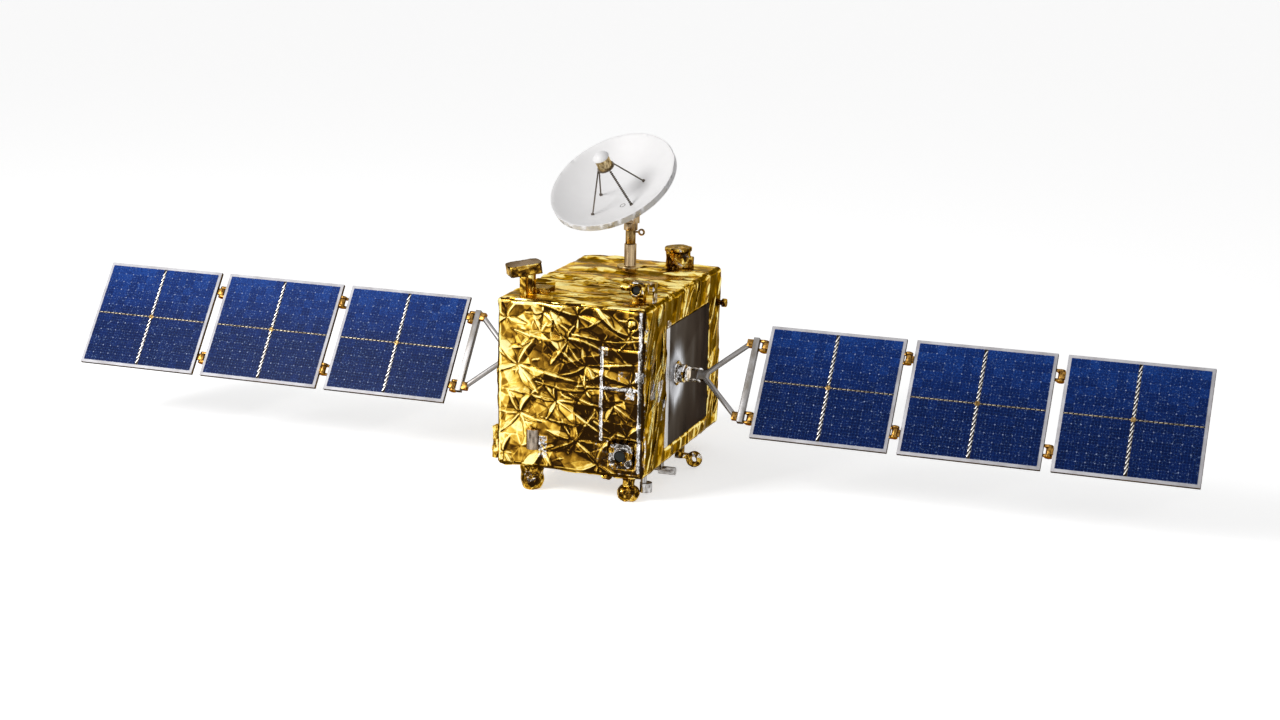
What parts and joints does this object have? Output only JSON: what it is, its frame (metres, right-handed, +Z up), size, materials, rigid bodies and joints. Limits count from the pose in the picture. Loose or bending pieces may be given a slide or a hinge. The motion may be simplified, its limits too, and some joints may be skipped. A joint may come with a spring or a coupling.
{
  "type": "box-bodied deep-space probe satellite with folding solar wings",
  "caption": "Foil-wrapped box satellite with two folding three-panel solar wings, a steerable dish on a mast, a launch ring and padded feet.",
  "frame": {"origin": "centre of the launch ring's bolt circle, on the ring's lower face", "axes": "+X along the right solar wing, +Y to the back of the body, +Z up"},
  "size_m": [7.834, 1.601, 2.1721],
  "materials": {
    "gold_foil": "crinkled multilayer insulation foil, amber gold, glossy",
    "solar_cells": "blue solar cells under cover glass",
    "wing_panel": "pale grey sandwich panel",
    "gold_fittings": "gold plated, satin",
    "grey_metal": "grey anodised",
    "bare_metal": "machined",
    "white_paint": "white thermal paint",
    "radiator_coating": "dark radiator coating",
    "lens_glass": "dark coated glass"
  },
  "bodies": {
    "craft": {"access_hatch": "gold_foil", "back_panel": "gold_foil", "bottom_deck": "gold_foil", "corner_pod": "gold_foil", "deck_camera_head": "gold_foil", "deck_camera_stand": "gold_foil", "deck_drum": "gold_foil", "drive_housings": "bare_metal", "feet": "gold_foil", "front_panel": "gold_foil", "front_shroud": "gold_foil", "launch_ring": "bare_metal", "left_panel": "gold_foil", "low_gain_antenna": "gold_foil", "main_engine": "bare_metal", "mast": "white_paint", "nav_camera": "gold_foil", "nav_lens": "lens_glass", "radiators": "radiator_coating", "right_panel": "gold_foil", "star_tracker": "gold_foil", "thrusters": "bare_metal", "tie_down_eye": "gold_foil", "top_deck": "gold_foil", "tracker_bracket": "gold_foil", "tracker_lens": "lens_glass"},
    "antenna_mount": {"azimuth_tube": "gold_fittings", "elevation_fork": "white_paint"},
    "antenna": {"dish": "white_paint", "dish_hub": "white_paint", "feed_cap": "white_paint", "feed_horn": "gold_fittings", "feed_struts": "grey_metal"},
    "drive_right": {"drive_clevis_right": "bare_metal"},
    "yoke_right": {"yoke_arms_right": "grey_metal", "yoke_beam_right": "grey_metal", "yoke_fittings_right": "gold_fittings"},
    "panel_1_right": {"cells_1_right": "solar_cells", "hinges_1_right": "gold_fittings", "panel_1_right": "wing_panel"},
    "panel_2_right": {"cells_2_right": "solar_cells", "hinges_2_right": "gold_fittings", "panel_2_right": "wing_panel"},
    "panel_3_right": {"cells_3_right": "solar_cells", "hinges_3_right": "gold_fittings", "panel_3_right": "wing_panel"},
    "drive_left": {"drive_clevis_left": "bare_metal"},
    "yoke_left": {"yoke_arms_left": "grey_metal", "yoke_beam_left": "grey_metal", "yoke_fittings_left": "gold_fittings"},
    "panel_1_left": {"cells_1_left": "solar_cells", "hinges_1_left": "gold_fittings", "panel_1_left": "wing_panel"},
    "panel_2_left": {"cells_2_left": "solar_cells", "hinges_2_left": "gold_fittings", "panel_2_left": "wing_panel"},
    "panel_3_left": {"cells_3_left": "solar_cells", "hinges_3_left": "gold_fittings", "panel_3_left": "wing_panel"}
  },
  "joints": [
    {"name": "wing_turn_right", "type": "hinge", "parent": "craft", "child": "drive_right", "pos_m": [0.56, -0.125, 0.665], "axis": [1, 0, 0], "continuous": true},
    {"name": "wing_fold_right", "type": "hinge", "parent": "drive_right", "child": "yoke_right", "pos_m": [0.655, -0.125, 0.665], "axis": [0, -0.5906, -0.807], "range_deg": [0, 90]},
    {"name": "panel_1_fold_right", "type": "hinge", "parent": "yoke_right", "child": "panel_1_right", "pos_m": [1.045, -0.10725, 0.65201], "axis": [0, -0.5906, -0.807], "range_deg": [-180, 0]},
    {"name": "panel_2_fold_right", "type": "hinge", "parent": "panel_1_right", "child": "panel_2_right", "pos_m": [2.013, -0.14275, 0.67799], "axis": [0, -0.5906, -0.807], "range_deg": [0, 180]},
    {"name": "panel_3_fold_right", "type": "hinge", "parent": "panel_2_right", "child": "panel_3_right", "pos_m": [2.981, -0.10725, 0.65201], "axis": [0, -0.5906, -0.807], "range_deg": [-180, 0]},
    {"name": "wing_turn_left", "type": "hinge", "parent": "craft", "child": "drive_left", "pos_m": [-0.56, -0.125, 0.665], "axis": [1, 0, 0], "continuous": true},
    {"name": "wing_fold_left", "type": "hinge", "parent": "drive_left", "child": "yoke_left", "pos_m": [-0.655, -0.125, 0.665], "axis": [0, 0.5906, 0.807], "range_deg": [0, 90]},
    {"name": "panel_1_fold_left", "type": "hinge", "parent": "yoke_left", "child": "panel_1_left", "pos_m": [-1.045, -0.10725, 0.65201], "axis": [0, 0.5906, 0.807], "range_deg": [-180, 0]},
    {"name": "panel_2_fold_left", "type": "hinge", "parent": "panel_1_left", "child": "panel_2_left", "pos_m": [-2.013, -0.14275, 0.67799], "axis": [0, 0.5906, 0.807], "range_deg": [0, 180]},
    {"name": "panel_3_fold_left", "type": "hinge", "parent": "panel_2_left", "child": "panel_3_left", "pos_m": [-2.981, -0.10725, 0.65201], "axis": [0, 0.5906, 0.807], "range_deg": [-180, 0]},
    {"name": "dish_turn", "type": "hinge", "parent": "craft", "child": "antenna_mount", "pos_m": [-0.057, 0.476, 1.38], "axis": [0, 0, 1], "range_deg": [-175, 175]},
    {"name": "dish_tilt", "type": "hinge", "parent": "antenna_mount", "child": "antenna", "pos_m": [-0.057, 0.476, 1.621], "axis": [0.9444, -0.3289, 0], "range_deg": [-37.2, 18]}
  ],
  "couplings": [
    {"joint": "panel_1_fold_right", "follows": "wing_fold_right", "ratio": -2},
    {"joint": "panel_2_fold_right", "follows": "wing_fold_right", "ratio": 2},
    {"joint": "panel_3_fold_right", "follows": "wing_fold_right", "ratio": -2},
    {"joint": "panel_1_fold_left", "follows": "wing_fold_left", "ratio": -2},
    {"joint": "panel_2_fold_left", "follows": "wing_fold_left", "ratio": 2},
    {"joint": "panel_3_fold_left", "follows": "wing_fold_left", "ratio": -2}
  ]
}
